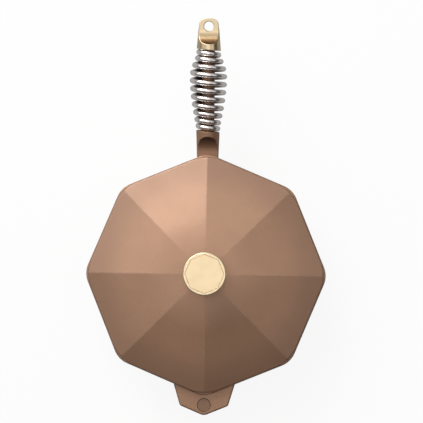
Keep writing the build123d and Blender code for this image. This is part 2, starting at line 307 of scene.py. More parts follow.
def octagon_ring(half_width, height, fill, sides=8, corner=0.0):
    """A straight-sided ring, eight-sided with a corner on each axis unless other sides are given.

    Where a radius is given, its corners are rounded.
    """
    bpy.ops.mesh.primitive_circle_add(vertices=sides, radius=half_width / cos(pi / sides), fill_type=fill,
                                      enter_editmode=True, location=(0, 0, height))
    if corner:
        bpy.ops.mesh.bevel(offset=corner * tan(pi / sides), segments=8, profile=0.548, affect="VERTICES")
        bpy.ops.mesh.select_all(action="SELECT")


def drawn_out(name, profile, ring, closed=False, **shape):
    """Piece made by drawing a ring out step by step along a profile of half widths and heights."""
    start()
    half_width, height = profile[0]
    ring(half_width, height, "NOTHING" if closed else "NGON", **shape)
    steps = profile[1:] + profile[:1] if closed else profile[1:]
    for next_half_width, next_height in steps:
        rise = (0, 0, next_height - height)
        bpy.ops.mesh.extrude_region_move(TRANSFORM_OT_translate={"value": rise})
        grow = next_half_width / half_width
        bpy.ops.transform.resize(value=(grow, grow, 1), center_override=(0, 0, next_height))
        half_width, height = next_half_width, next_height
    return close(name)


def rod(name, radius, low, high, sides):
    """Upright round rod."""
    return drawn_out(name, [(radius, low), (radius, high)], round_ring, sides=sides)


def bevel(width, steps, **more):
    """Rounds the selected edges of the mesh in edit mode."""
    bpy.ops.mesh.bevel(offset=width, segments=steps, profile=0.5, affect="EDGES", **more)


def plate(name, corners, low, high, edge_radius=0.0):
    """Flat piece from an outline of (x, y, radius) corners, its level edges rounded if asked."""
    start()
    bpy.ops.mesh.primitive_circle_add(vertices=len(corners), radius=50 * mm, fill_type="NGON",
                                      enter_editmode=True, location=(0, 0, 0))
    data = bpy.context.object.data
    count = len(corners)
    for i, (x, y, radius) in enumerate(corners):
        bpy.ops.mesh.select_all(action="DESELECT")
        mesh = bmesh.from_edit_mesh(data)
        mesh.verts.ensure_lookup_table()
        vertex = mesh.verts[i]
        vertex.select_set(True)
        move = (x - vertex.co.x, y - vertex.co.y, low)
        bmesh.update_edit_mesh(data)
        bpy.ops.transform.translate(value=move)
    for i, (x, y, radius) in enumerate(corners):
        if radius:
            here = Vector((x, y))
            back = (Vector(corners[i - 1][:2]) - here).normalized()
            ahead = (Vector(corners[(i + 1) % count][:2]) - here).normalized()
            pick_vertices(lambda co: hypot(co.x - x, co.y - y) < 0.01 * mm)
            offset = radius / tan(back.angle(ahead) / 2)
            bpy.ops.mesh.bevel(offset=offset, segments=8, profile=0.53, affect="VERTICES")
    bpy.ops.mesh.select_all(action="SELECT")
    bpy.ops.mesh.extrude_region_move(TRANSFORM_OT_translate={"value": (0, 0, high - low)})
    if edge_radius:
        pick_edges(lambda e: abs(e.verts[0].co.z - e.verts[1].co.z) < 0.01 * mm)
        bevel(edge_radius, 4)
    return close(name)


def combine(piece, tool, operation):
    """Joins, cuts or trims a piece with a tool, which is then gone."""
    activate(piece)
    change = piece.modifiers.new("combine", "BOOLEAN")
    change.operation = operation
    change.solver = "EXACT"
    change.object = tool
    bpy.ops.object.modifier_apply(modifier=change.name)
    bpy.data.objects.remove(tool)
    edit(piece)
    weld()


def soften(piece, width, angle):
    """Rounds every edge of a piece that turns by more than an angle in degrees."""
    activate(piece)
    change = piece.modifiers.new("soften", "BEVEL")
    change.width = width
    change.segments = 3
    change.limit_method = "ANGLE"
    change.angle_limit = radians(angle)
    change.use_clamp_overlap = False
    change.miter_outer = "MITER_ARC"
    bpy.ops.object.modifier_apply(modifier=change.name)


def sharp(edge):
    """Whether two faces meet at an edge with a turn of more than 35 degrees."""
    return len(edge.link_faces) == 2 and edge.calc_face_angle() > radians(35)


def soften_where(piece, test, width):
    """Rounds the edges of a piece that pass a test."""
    edit(piece)
    pick_edges(test)
    bevel(width, 3, clamp_overlap=False)
    weld()


def round_over(piece, voxel, passes):
    """Gives a piece an even skin of small faces and rounds all its edges."""
    activate(piece)
    skin = piece.modifiers.new("skin", "REMESH")
    skin.mode = "VOXEL"
    skin.voxel_size = voxel
    bpy.ops.object.modifier_apply(modifier=skin.name)
    ease = piece.modifiers.new("ease", "SMOOTH")
    ease.factor = 0.5
    ease.iterations = passes
    bpy.ops.object.modifier_apply(modifier=ease.name)


def tidy_cut(piece):
    """Clears the tiny steps that cuts leave along a curved edge."""
    edit(piece)
    bpy.ops.mesh.remove_doubles(threshold=0.12 * mm)
    bpy.ops.mesh.dissolve_limited(angle_limit=radians(0.3))
    bpy.ops.object.mode_set(mode="OBJECT")


def place(piece, matrix):
    """Moves a piece to its place and puts the place into its mesh."""
    activate(piece)
    piece.matrix_world = matrix
    bpy.ops.object.transform_apply(location=True, rotation=True, scale=True)


along_handle = Matrix.Rotation(-pi / 2, 4, "X")


# Pan

def scoop(crest, foot, crest_height, flat_height):
    """Cutter for a hollow ramp from a crest down to a flat, above the middle of the handle."""
    drop = crest_height - flat_height
    run = foot - crest
    radius = (run**2 + drop**2) / (2 * drop)
    side = radius if run > 0 else -radius
    arc = [(foot - side * sin(angle), flat_height + radius * (1 - cos(angle)))
           for angle in (pi / 2 * k / 24 for k in range(25))]
    far = foot + side + run
    corners = [(y, z, 0) for y, z in arc] + [(far, arc[-1][1], 0), (far, flat_height, 0)]
    cutter = plate("scoop", corners, -40 * mm, 40 * mm)
    place(cutter, Matrix(((0, 0, 1, 0), (1, 0, 0, 0), (0, 1, 0, 0), (0, 0, 0, 1))))
    return cutter


def mirrored(piece):
    """Copy of a cutter on the other side of the handle."""
    activate(piece)
    bpy.ops.object.duplicate()
    other = bpy.context.object
    place(other, Matrix.Scale(-1, 4, (0, 0, 1)))
    edit(other)
    face_outward()
    return other


def trim_at_seat(piece, distance, keep_far):
    """Cuts a piece of the handle square to a tilted seat and closes it."""
    edit(piece)
    bpy.ops.mesh.bisect(plane_co=(0, distance, 0), plane_no=(sin(seat_tilt), cos(seat_tilt), 0),
                        use_fill=True, clear_inner=keep_far, clear_outer=not keep_far)
    face_outward()


def stud_bore(low, high):
    """Cutter for the bore along the handle that holds the stud."""
    bore = rod("stud bore", stud_bore_radius, low, high, 32)
    place(bore, along_handle)
    return bore


def wall_corner(height):
    """Distance from the centre to the sharp corner of the wall's outside at some height."""
    return (base_half_width + lean * height) / cos(half_corner)


def make_tab():
    """Pointed helper tab with a bare round recess."""
    edge_slope = tan(half_corner)
    sharp_tip = tab_tip + tab_tip_round * (1 / cos(half_corner) - 1)
    shoulder_y = sharp_tip - tab_shoulder * edge_slope
    side_slope = (rim_sharp_corner - tab_root * edge_slope - shoulder_y) / (tab_root - tab_shoulder)
    corner = wall_corner(tab_top - tab_thickness / 2)
    root_x = (corner - shoulder_y + side_slope * tab_shoulder) / (side_slope + edge_slope)
    root_y = corner - root_x * edge_slope
    outer_x = root_x + 3 * tab_fillet
    outer_y = corner - outer_x * edge_slope - lean * tab_thickness
    inner_y = root_y - tab_root / 2
    right = [(outer_x, -inner_y, 0), (outer_x, -outer_y, 0), (root_x, -root_y, tab_fillet),
             (tab_shoulder, -shoulder_y, tab_fillet)]
    left = [(-x, y, radius) for x, y, radius in reversed(right)]
    outline = right + [(0, -sharp_tip, tab_tip_round)] + left
    tab = plate("tab", outline[::-1], tab_top - tab_thickness, tab_top, tab_edge)
    r = medallion_radius
    low = tab_top - medallion_depth
    dish = [(r - 0.9 * mm, low), (r - 0.5 * mm, low + 0.12 * mm),
            (r - 0.25 * mm, tab_top - 0.25 * mm), (r, tab_top), (r + 0.3 * mm, tab_top + 1 * mm)]
    recess = drawn_out("recess", dish, round_ring, sides=64)
    place(recess, Matrix.Translation((0, medallion_y, 0)))
    combine(tab, recess, "DIFFERENCE")
    return tab


def make_shank():
    """Tapered round neck and collar, flared at the pan and scooped above and below, with the tang."""
    half = neck_half_width
    corner = (wall_corner(neck_top - neck_half_thickness) - seat_y) / cos(handle_rise)
    slope = tan(half_corner) / cos(handle_rise)
    flare_x = half + neck_flare
    flare_y = corner - flare_x * slope - lean * 2 * neck_half_thickness
    outline = [(flare_x, flare_y - half, 0), (flare_x, flare_y, 0),
               (half, corner - half * slope, neck_flare),
               (collar_radius, 0, 0), (collar_radius, collar_radius, 0)]
    shank = drawn_out("shank", rings(rounded(outline, 8), 2.5 * mm), round_ring, sides=36)
    place(shank, along_handle)
    cutter = scoop(-collar_crest, -collar_scoop_foot, collar_radius, neck_half_thickness)
    combine(shank, mirrored(cutter), "DIFFERENCE")
    combine(shank, cutter, "DIFFERENCE")
    trim_at_seat(shank, 0, False)
    tidy_cut(shank)
    clear = corner + 1 * mm
    soften_where(shank, lambda e: sharp(e) and min(v.co.y for v in e.verts) > clear, scoop_edge)
    tang = rod("tang", tang_radius, -collar_crest / 2, coil_space + 10 * mm, 48)
    place(tang, along_handle)
    trim_at_seat(tang, coil_space - tang_gap, False)
    soften(tang, 0.5 * mm, 50)
    combine(shank, tang, "UNION")
    combine(shank, stud_bore(coil_space - bore_in_tang, coil_space + overrun), "DIFFERENCE")
    place(shank, handle_place)
    return shank


def make_pan():
    """Pan with its tab and shank in one casting."""
    core, inner_core = 90 * mm, 80 * mm
    outside = [(core, 0, 0), (base_half_width, 0, base_edge), (rim_half_width, pan_height, rim_edge),
               (core, pan_height, 0)]
    pan = drawn_out("pan", rounded(outside), octagon_ring, corner=rim_corner * core / rim_half_width)
    combine(pan, make_tab(), "UNION")
    combine(pan, make_shank(), "UNION")
    inner_base = base_half_width - wall
    rim_inside = rim_half_width - wall
    level = pan_height + 0.01 * mm
    outer = rim_inside + 2 * mm
    inside = [(inner_core, floor_top, 0), (inner_base + lean * floor_top, floor_top, floor_edge),
              (rim_inside, level, rim_edge), (outer, level, 0), (outer, level + 3 * mm, 0)]
    cavity = drawn_out("cavity", rounded(inside, 6), octagon_ring,
                       corner=(rim_corner - wall) * inner_core / rim_inside)
    combine(pan, cavity, "DIFFERENCE")
    return pan


# Coil

def coil_swell(share):
    """How far the barrel has swelled, from 0 at its ends to 1 where it is fullest."""
    share = min(max(share, 0.0), 1.0)
    if share < coil_fullest_at:
        return sin(pi / 2 * share / coil_fullest_at) ** coil_rise_power
    fall = pi / 2 * (share - coil_fullest_at) / (1 - coil_fullest_at)
    return max(cos(fall), 0.0) ** coil_fall_power


def coil_travel(turns):
    """Way along the handle after some turns, which lie closer at both ends."""
    span = 1 - 2 * turns / coil_turns
    closed = (1 - span * abs(span) ** 3) / 8
    return coil_pitch * (turns - coil_turns * coil_end_closing * closed)


def coil_point(turns, shift=0.0):
    """Middle of the wire in the handle's frame, a strand on top at each whole turn."""
    radius = coil_end_radius + coil_swell(turns / coil_turns) * (coil_middle_radius - coil_end_radius)
    middle = (coil_space + coil_travel(coil_turns)) / 2 + shift
    angle = 2 * pi * turns
    return Vector((radius * sin(angle), middle - coil_travel(turns), radius * cos(angle)))


def coil_heading(turns):
    return (coil_point(turns + 1e-4) - coil_point(turns - 1e-4)).normalized()


def make_coil():
    """Barrel of one wire wound left-handed round the tang, its clipped ends straight."""
    first, last = -coil_overhang, coil_turns + coil_overhang
    cap_end = coil_point(first) - coil_heading(first) * 2 * wire_radius
    seat = wire_radius / cos(seat_tilt) + coil_seat_gap
    shift = coil_space - seat - cap_end.x * tan(seat_tilt) - cap_end.y
    per_turn = 40
    count = round((last - first) * per_turn)
    points = [coil_point(first + i / per_turn, shift) for i in range(count + 1)]
    points.insert(0, points[0] - coil_heading(first) * 2 * wire_radius)
    points.append(points[-1] + coil_heading(last) * 2 * wire_radius)
    start()
    line = bpy.data.curves.new("coil", "CURVE")
    line.dimensions = "3D"
    line.bevel_depth = wire_radius
    line.bevel_resolution = 8
    line.use_fill_caps = True
    strand = line.splines.new("POLY")
    strand.points.add(len(points) - 1)
    for point, place_of_point in zip(strand.points, points):
        point.co = (*place_of_point, 1)
    coil = bpy.data.objects.new("coil", line)
    bpy.context.collection.objects.link(coil)
    activate(coil)
    bpy.ops.object.convert(target="MESH")
    coil = bpy.context.object
    edit(coil)
    bpy.ops.mesh.remove_doubles(threshold=0.001 * mm)
    face_outward()
    soften(coil, 0.4 * mm, 60)
    place(coil, handle_place)
    return coil


# End cap

def make_cap():
    """Tapered round cap, scooped above and below to a tab with a hanging hole."""
    early = cap_radius * tan(seat_tilt) + 1 * mm
    late = cap_length + 1 * mm
    profile = [(cap_radius + early * cap_taper, -early), (cap_radius - late * cap_taper, late)]
    cap = drawn_out("cap", profile, round_ring, sides=180)
    place(cap, along_handle)
    crest_radius = cap_radius - cap_crest * cap_taper
    cutter = scoop(cap_crest, cap_foot, crest_radius, cap_tab_half)
    combine(cap, mirrored(cutter), "DIFFERENCE")
    combine(cap, cutter, "DIFFERENCE")
    half = cap_radius - cap_length * cap_taper
    edge_y = cap_length - cap_arch + (cap_arch**2 - half**2) ** 0.5
    arch = [(cap_arch * sin(a), cap_length - cap_arch + cap_arch * cos(a), 0)
            for a in (cap_arch_spread * k / 4 for k in range(4, -5, -1))]
    wide = 22 * mm
    taper_x = half - 0.01 * mm
    outline = [(wide, -10 * mm, 0), (wide, 5 * mm, 0),
               (taper_x + 0.6 * mm, edge_y - 9 * mm, 8 * mm),
               (taper_x - 0.2 * mm, edge_y - 0.2 * mm, cap_corner)]
    left = [(-x, y, radius) for x, y, radius in reversed(outline)]
    trimmer = plate("trimmer", outline + arch + left, -20 * mm, 20 * mm)
    combine(cap, trimmer, "INTERSECT")
    hole = rod("hole", hole_radius, -20 * mm, 20 * mm, 64)
    place(hole, Matrix.Translation((0, hole_y, 0)))
    combine(cap, hole, "DIFFERENCE")
    trim_at_seat(cap, 0, True)
    round_over(cap, cap_skin, cap_smoothing)
    combine(cap, stud_bore(-overrun, bore_in_cap), "DIFFERENCE")
    place(cap, handle_place @ Matrix.Translation((0, coil_space, 0)))
    return cap


# Lid

def vault_profile(depth, widest):
    """Half widths and heights of the vault, from its foot to its crown, sunk by some depth."""
    radius = bend_radius - depth
    centre = crown - bend_radius
    bend = radius * sin(lid_slope)
    points = [(widest, centre + radius * cos(lid_slope) - (widest - bend) * tan(lid_slope))]
    for k in range(26):
        angle = lid_slope * (1 - k / 26)
        points.append((radius * sin(angle), centre + radius * cos(angle)))
    return points + [(0.4 * mm, centre + radius)]


def on_ridge(edge):
    """Whether an edge of the vault runs up one of its eight ridges, outside the knob."""
    places = [vertex.co for vertex in edge.verts]
    level = abs(places[0].z - places[1].z) < 0.001 * mm
    far = min(hypot(co.x, co.y) for co in places) > 14 * mm
    turns = [atan2(co.y, co.x) / (pi / 4) for co in places]
    on_line = all(abs(turn - round(turn)) < 1e-4 for turn in turns)
    return not level and far and on_line and min(co.z for co in places) > pan_height + 1 * mm


def on_outside(edge, low, high):
    """Whether an edge of the lid lies on its outer wall, between two heights."""
    near = lid_half_width - 0.02 * mm
    return all(hypot(v.co.x, v.co.y) > near and low < v.co.z < high for v in edge.verts)


def make_lid():
    """Lid: faceted vault with a locating lip, drip ribs, and a boss and pad for the knob."""
    reach = 134 * mm
    lid = drawn_out("lid", [(reach, pan_height)] + vault_profile(0, reach), octagon_ring)
    edit(lid)
    pick_edges(on_ridge)
    bevel(ridge_width, 3)
    bpy.ops.object.mode_set(mode="OBJECT")
    outline = [(lid_half_width, pan_height - overrun), (lid_half_width, crown + overrun)]
    combine(lid, drawn_out("outline", outline, octagon_ring, corner=lid_corner), "INTERSECT")
    edit(lid)
    pick_edges(lambda e: on_outside(e, pan_height + 2 * mm, crown))
    bevel(lid_upper_round, 4)
    pick_edges(lambda e: on_outside(e, 0, pan_height + 0.1 * mm))
    bevel(lid_lower_round, 2)
    bpy.ops.object.mode_set(mode="OBJECT")
    core = 100 * mm
    lip = [(core, lip_bottom, 0), (lip_half_width, lip_bottom, 0.8 * mm),
           (lip_half_width, pan_height + 3 * mm, 0)]
    combine(lid, drawn_out("lip", rounded(lip), octagon_ring, corner=lip_corner * core / lip_half_width),
            "UNION")
    inside = [(125 * mm, lip_bottom - 1 * mm)] + vault_profile(lid_wall, 125 * mm)
    hollow = drawn_out("hollow", inside, octagon_ring)
    flared = hollow_half_width + 1.4 * mm
    inner = [(flared, lip_bottom - 1 * mm), (flared, lip_bottom - 0.1 * mm),
             (hollow_half_width + 0.4 * mm, lip_bottom + 0.5 * mm),
             (hollow_half_width, lip_bottom + 1.2 * mm), (hollow_half_width, crown)]
    combine(hollow, drawn_out("inner", inner, octagon_ring, corner=hollow_corner), "INTERSECT")
    combine(lid, hollow, "DIFFERENCE")
    for half_width in rib_half_widths:
        radius = bend_radius - lid_wall
        angle = min(lid_slope, half_width / radius)
        drop = (half_width - radius * sin(angle)) * tan(angle)
        ceiling = crown - bend_radius + radius * cos(angle) - drop
        low, high = ceiling - rib_depth, ceiling + rib_depth
        inner_edge = half_width - rib_width
        corners = [(inner_edge, low, rib_edge), (half_width, low, rib_edge),
                   (half_width, high, 0), (inner_edge, high, 0)]
        rib = drawn_out("rib", rounded(corners, 3), octagon_ring, closed=True,
                        corner=hollow_corner * half_width / hollow_half_width)
        combine(lid, rib, "UNION")
    boss = [(boss_radius - 1 * mm, boss_bottom, 0), (boss_radius, boss_bottom, 0.8 * mm),
            (boss_radius, boss_bottom + 2.6 * mm, 1 * mm),
            (boss_radius + 1.5 * mm, boss_bottom + 4 * mm, 0)]
    combine(lid, drawn_out("boss", rounded(boss, 3), round_ring, sides=64), "UNION")
    pad = [(pad_radius, crown - 3 * mm, 0), (pad_radius, pad_top, 0.4 * mm), (4 * mm, pad_top, 0)]
    combine(lid, drawn_out("pad", rounded(pad, 3), round_ring, sides=64), "UNION")
    combine(lid, rod("bore", screw_bore, boss_bottom - overrun, pad_top + overrun, 32), "DIFFERENCE")
    return lid


# Knob, screw and washer

def make_knob():
    """Turned knob: a flat disc on a waisted stem, with an eight-sided line cut into its top."""
    under = knob_top - disc_height
    stem_foot = pad_top + 0.8 * mm
    waist = (waist_radius, pad_top + waist_height)
    throat = (knob_radius - 2.75 * mm, under - 1 * mm)
    flare = arc_through((stem_radius, stem_foot), waist, throat, 22)
    foot = [(11.2 * mm, pad_top), (11.7 * mm, pad_top + 0.25 * mm)]
    rim = rounded([(knob_radius - 1.8 * mm, under - 0.7 * mm, 0), (knob_radius, under, 0.5 * mm),
                   (knob_radius, knob_top, disc_edge), (knob_radius - 3 * mm, knob_top, 0)], 6)
    knob = drawn_out("knob", foot + flare + rim, round_ring, sides=128)
    line = groove_half_width
    groove = [(line - 0.12 * mm, knob_top - 0.4 * mm), (line + 0.12 * mm, knob_top - 0.4 * mm),
              (line + 0.36 * mm, knob_top), (line + 0.5 * mm, knob_top + 0.3 * mm),
              (line - 0.5 * mm, knob_top + 0.3 * mm), (line - 0.36 * mm, knob_top)]
    combine(knob, drawn_out("groove", groove, octagon_ring, closed=True), "DIFFERENCE")
    bore_end = pad_top + screw_in_knob + 0.15 * mm
    combine(knob, rod("bore", screw_bore, pad_top - 1 * mm, bore_end, 32), "DIFFERENCE")
    return knob


def make_washer():
    inner, low, high = screw_bore, washer_bottom, boss_bottom
    corners = [(inner, low, 0.15 * mm), (washer_radius, low, 0.3 * mm),
               (washer_radius, high, 0.2 * mm), (inner, high, 0.15 * mm)]
    return drawn_out("washer", rounded(corners, 3), round_ring, closed=True, sides=64)


def make_screw():
    """Round-headed socket screw."""
    low, end = washer_bottom - head_height, pad_top + screw_in_knob
    outline = [(2.6 * mm, low, 0), (head_radius, low, 1.8 * mm), (head_radius, washer_bottom, 0.2 * mm),
               (screw_radius, washer_bottom, 0), (screw_radius, end, 0.5 * mm), (1 * mm, end, 0)]
    screw = drawn_out("screw", rounded(outline, 6), round_ring, sides=64)
    socket = [(2 * mm, low + 2 * mm), (2 * mm, low + 0.2 * mm), (2.4 * mm, low - 0.2 * mm)]
    combine(screw, drawn_out("socket", socket, octagon_ring, sides=6), "DIFFERENCE")
    return screw


# Materials

iron_plain = (0.425, 0.213, 0.112)
iron_cloud = (0.455, 0.231, 0.124)
iron_dust = (0.52, 0.32, 0.19)
iron_worn = (0.60, 0.37, 0.25)
# Grime and painted shade in hollows
iron_grime_and_shade = (0.14, 0.07, 0.045)
# Painted shade on the collar's scoop and in the tab's recess
iron_painted_shade = (0.05, 0.022, 0.012)
# Painted shade towards the lid's rim
iron_rim_painted_shade = (0.23, 0.11, 0.056)
rim_shade_band = (85 * mm, 130 * mm)

brass_plain = (0.775, 0.615, 0.395)
brass_smudge = (0.765, 0.60, 0.38)
brass_worn = (0.90, 0.79, 0.57)
# Grime and painted shade in hollows
brass_grime_and_shade = (0.40, 0.27, 0.14)
# Painted shade on the cap's scoop
brass_painted_shade = (0.20, 0.115, 0.05)

wire_plain = (0.95, 0.895, 0.87)
wire_smudge = (0.91, 0.855, 0.83)
# Painted shade on the side of the wire that faces into the coil
wire_painted_shade = (0.07, 0.055, 0.05)

steel_plain = (0.60, 0.60, 0.61)
steel_smudge = (0.50, 0.50, 0.51)
steel_worn = (0.72, 0.72, 0.73)


def new_group(name, inputs, outputs):
    """Node group that takes a point and named values. Gives its tree, inputs and outputs."""
    tree = bpy.data.node_groups.new(name, "ShaderNodeTree")
    tree.interface.new_socket("Point", in_out="INPUT", socket_type="NodeSocketVector")
    for label in inputs:
        tree.interface.new_socket(label, in_out="INPUT", socket_type="NodeSocketFloat")
    for label in outputs:
        tree.interface.new_socket(label, in_out="OUTPUT", socket_type="NodeSocketFloat")
    return tree, tree.nodes.new("NodeGroupInput").outputs, tree.nodes.new("NodeGroupOutput").inputs


def node(tree, kind, links=(), **settings):
    """Node with its settings, its inputs linked or set by name."""
    made = tree.nodes.new(kind)
    for key, value in settings.items():
        setattr(made, key, value)
    for socket, source in links:
        target = made.inputs[socket]
        if isinstance(source, bpy.types.NodeSocket):
            tree.links.new(source, target)
        else:
            target.default_value = source
    return made


def maths(tree, operation, first, second, clamp=False):
    links = ((0, first), (1, second))
    return node(tree, "ShaderNodeMath", links, operation=operation, use_clamp=clamp).outputs[0]


def add_share(tree, value, extra, share):
    """A value with a share of another added to it."""
    return maths(tree, "ADD", value, maths(tree, "MULTIPLY", extra, share))


def spread(tree, value, low, high, to_low=0.0, to_high=1.0):
    """A value carried from one range to another, eased in and out and held at its ends."""
    links = (("Value", value), ("From Min", low), ("From Max", high),
             ("To Min", to_low), ("To Max", to_high))
    return node(tree, "ShaderNodeMapRange", links, interpolation_type="SMOOTHSTEP").outputs["Result"]


def blend_colours(tree, share, first, second):
    mix = node(tree, "ShaderNodeMix", ((0, share),), data_type="RGBA")
    for index, source in ((6, first), (7, second)):
        if isinstance(source, bpy.types.NodeSocket):
            tree.links.new(source, mix.inputs[index])
        else:
            mix.inputs[index].default_value = (*source, 1)
    return mix.outputs[2]


def coats(tree, colour, *layers):
    """A colour with others laid over it in turn, each given with its mask."""
    for mask, over in layers:
        colour = blend_colours(tree, mask, colour, over)
    return colour


def noise(tree, point, scale, detail, roughness=0.5):
    links = (("Vector", point), ("Scale", scale), ("Detail", detail), ("Roughness", roughness))
    return node(tree, "ShaderNodeTexNoise", links).outputs["Fac"]


def from_axis(tree, point):
    """Distance from the upright axis through the origin."""
    flat = node(tree, "ShaderNodeVectorMath", ((0, point), (1, (1, 1, 0))), operation="MULTIPLY")
    return node(tree, "ShaderNodeVectorMath", ((0, flat.outputs[0]),), operation="LENGTH").outputs["Value"]


def cast_grain_group():
    """Fine sand-cast grain with a slow unevenness of colour and sheen under it."""
    tree, given, result = new_group("cast grain", ["Grain per metre"], ["Height", "Speckle", "Cloud"])
    point, grain = given[:2]
    coarse = noise(tree, point, grain, 3.0, 0.6)
    fine = noise(tree, point, maths(tree, "MULTIPLY", grain, 2.7), 2.0, 0.6)
    wide = noise(tree, point, 34.0, 3.0, 0.55)
    tree.links.new(add_share(tree, coarse, fine, 0.6), result["Height"])
    tree.links.new(spread(tree, coarse, 0.3, 0.7), result["Speckle"])
    tree.links.new(spread(tree, wide, 0.3, 0.7), result["Cloud"])
    return tree


def smudge_group():
    """Faint handling marks: a mask of soft patches and thin streaks."""
    tree, given, result = new_group("smudges", ["Patches per metre"], ["Mask", "Streaks"])
    point, patches = given[:2]
    soft = noise(tree, point, patches, 4.0, 0.6)
    links = (("Vector", point), ("Scale", (9.0, 1.0, 3.0)), ("Rotation", (0.3, 0.2, 0.7)))
    stretched = node(tree, "ShaderNodeMapping", links).outputs[0]
    thin = noise(tree, stretched, maths(tree, "MULTIPLY", patches, 4.0), 2.0)
    tree.links.new(spread(tree, soft, 0.4, 0.68), result["Mask"])
    tree.links.new(spread(tree, thin, 0.52, 0.72), result["Streaks"])
    return tree


def turning_group():
    """Fine lines that a lathe leaves, by the distance from the axis and along it."""
    tree, given, result = new_group("turning lines", ["Lines per metre"], ["Height"])
    point, lines = given[:2]
    away = from_axis(tree, point)
    up = node(tree, "ShaderNodeSeparateXYZ", (("Vector", point),)).outputs["Z"]
    across = maths(tree, "MULTIPLY", maths(tree, "ADD", away, up), lines)
    links = (("W", across), ("Scale", 1.0), ("Detail", 2.0))
    ripple = node(tree, "ShaderNodeTexNoise", links, noise_dimensions="1D")
    tree.links.new(ripple.outputs["Fac"], result["Height"])
    return tree


def wear_group():
    """Broken mask over faces with a mark, for edges polished by handling and for grime and painted shade in
    hollows.
    """
    tree, given, result = new_group("edge wear", ["Edge", "Amount"], ["Mask"])
    point, edge, amount = given[:3]
    uneven = spread(tree, noise(tree, point, 160.0, 3.0), 0.35, 0.6)
    mask = maths(tree, "MULTIPLY", maths(tree, "MULTIPLY", edge, uneven), amount, True)
    tree.links.new(mask, result["Mask"])
    return tree


groups = {
    "grain": cast_grain_group(),
    "smudges": smudge_group(),
    "turning": turning_group(),
    "wear": wear_group(),
}


def put_group(tree, name, point, **values):
    """Outputs of a group placed in a material, its inputs linked or set by name."""
    links = [("Point", point)] + [(key.replace("_", " "), value) for key, value in values.items()]
    return node(tree, "ShaderNodeGroup", links, node_tree=groups[name]).outputs


def new_material(name, **constants):
    """Material with some shader values set. Gives it, its tree and the piece's own coordinates."""
    material = bpy.data.materials.new(name)
    material.use_nodes = True
    tree = material.node_tree
    for socket, value in constants.items():
        tree.nodes["Principled BSDF"].inputs[socket.replace("_", " ")].default_value = value
    return material, tree, tree.nodes.new("ShaderNodeTexCoord").outputs["Object"]


def finish(tree, colour, rough, height, depth):
    """Gives the shader its colour, its roughness and a bump of some depth."""
    links = (("Height", height), ("Distance", depth), ("Strength", 1.0))
    normal = node(tree, "ShaderNodeBump", links).outputs["Normal"]
    for socket, source in (("Base Color", colour), ("Roughness", rough), ("Normal", normal)):
        tree.links.new(source, tree.nodes["Principled BSDF"].inputs[socket])


def mark(tree, name):
    """Value of a mark that the piece carries."""
    return node(tree, "ShaderNodeAttribute", attribute_name=name).outputs["Fac"]


def wear_mask(tree, point, name, amount):
    """Broken mask over the marked edges or hollows of a piece."""
    return put_group(tree, "wear", point, Edge=mark(tree, name), Amount=amount)["Mask"]


def cast_iron(name, depth, index, rim_shade=0.0):
    """Bronze-brown seasoned cast iron with a satin sheen; a depth below 1 is darker.

    A rim shade above 0 paints shade towards the rim, darkening the colour there.
    """
    material, tree, point = new_material(name, Metallic=0.5, IOR=index, Specular_IOR_Level=1.0)

    def tone(colour):
        return tuple(depth * part for part in colour)

    grain = put_group(tree, "grain", point, Grain_per_metre=750.0)
    wear = wear_mask(tree, point, "edge", 0.45)
    # Grime and painted shade in the hollows
    grime_and_shade = wear_mask(tree, point, "hollow", 0.6)
    smudges = put_group(tree, "smudges", point, Patches_per_metre=18.0)
    dust = maths(tree, "MULTIPLY", grain["Speckle"], 0.25)
    # The last coat is painted shade on the collar's scoop and in the tab's recess.
    colour = coats(tree, tone(iron_plain), (grain["Cloud"], tone(iron_cloud)), (dust, tone(iron_dust)),
                   (wear, tone(iron_worn)), (grime_and_shade, tone(iron_grime_and_shade)), (mark(tree, "painted_shade"), iron_painted_shade))
    if rim_shade:
        # Painted shade that darkens the lid towards its rim
        band = spread(tree, from_axis(tree, point), *rim_shade_band)
        colour = coats(tree, colour, (maths(tree, "MULTIPLY", band, rim_shade), tone(iron_rim_painted_shade)))
    sheen = spread(tree, smudges["Mask"], 0.0, 1.0, 0.43, 0.40)
    rough = add_share(tree, add_share(tree, sheen, grain["Speckle"], 0.04), wear, -0.08)
    finish(tree, colour, rough, grain["Height"], 0.1 * mm)
    return material


def brass():
    """Pale satin brass, turned and lightly handled."""
    material, tree, point = new_material("satin brass", Metallic=1.0)
    turning = put_group(tree, "turning", point, Lines_per_metre=2600.0)
    smudges = put_group(tree, "smudges", point, Patches_per_metre=70.0)
    wear = wear_mask(tree, point, "edge", 0.8)
    # Grime and painted shade in the hollows
    grime_and_shade = wear_mask(tree, point, "hollow", 0.9)
    # The last coat is painted shade on the cap's scoop.
    colour = coats(tree, brass_plain, (smudges["Mask"], brass_smudge), (wear, brass_worn),
                   (grime_and_shade, brass_grime_and_shade), (mark(tree, "painted_shade"), brass_painted_shade))
    sheen = spread(tree, smudges["Mask"], 0.0, 1.0, 0.28, 0.31)
    rough = add_share(tree, sheen, smudges["Streaks"], 0.04)
    finish(tree, colour, rough, turning["Height"], 0.002 * mm)
    return material


def bright_wire():
    """Polished stainless wire with faint drawing marks."""
    material, tree, point = new_material("polished wire", Metallic=1.0)
    smudges = put_group(tree, "smudges", point, Patches_per_metre=90.0)
    # The last coat is painted shade on the side of the wire that faces into the coil.
    colour = coats(tree, wire_plain, (smudges["Mask"], wire_smudge), (mark(tree, "painted_shade"), wire_painted_shade))
    sheen = spread(tree, smudges["Mask"], 0.0, 1.0, 0.17, 0.21)
    rough = add_share(tree, sheen, smudges["Streaks"], 0.06)
    finish(tree, colour, rough, smudges["Streaks"], 0.001 * mm)
    return material


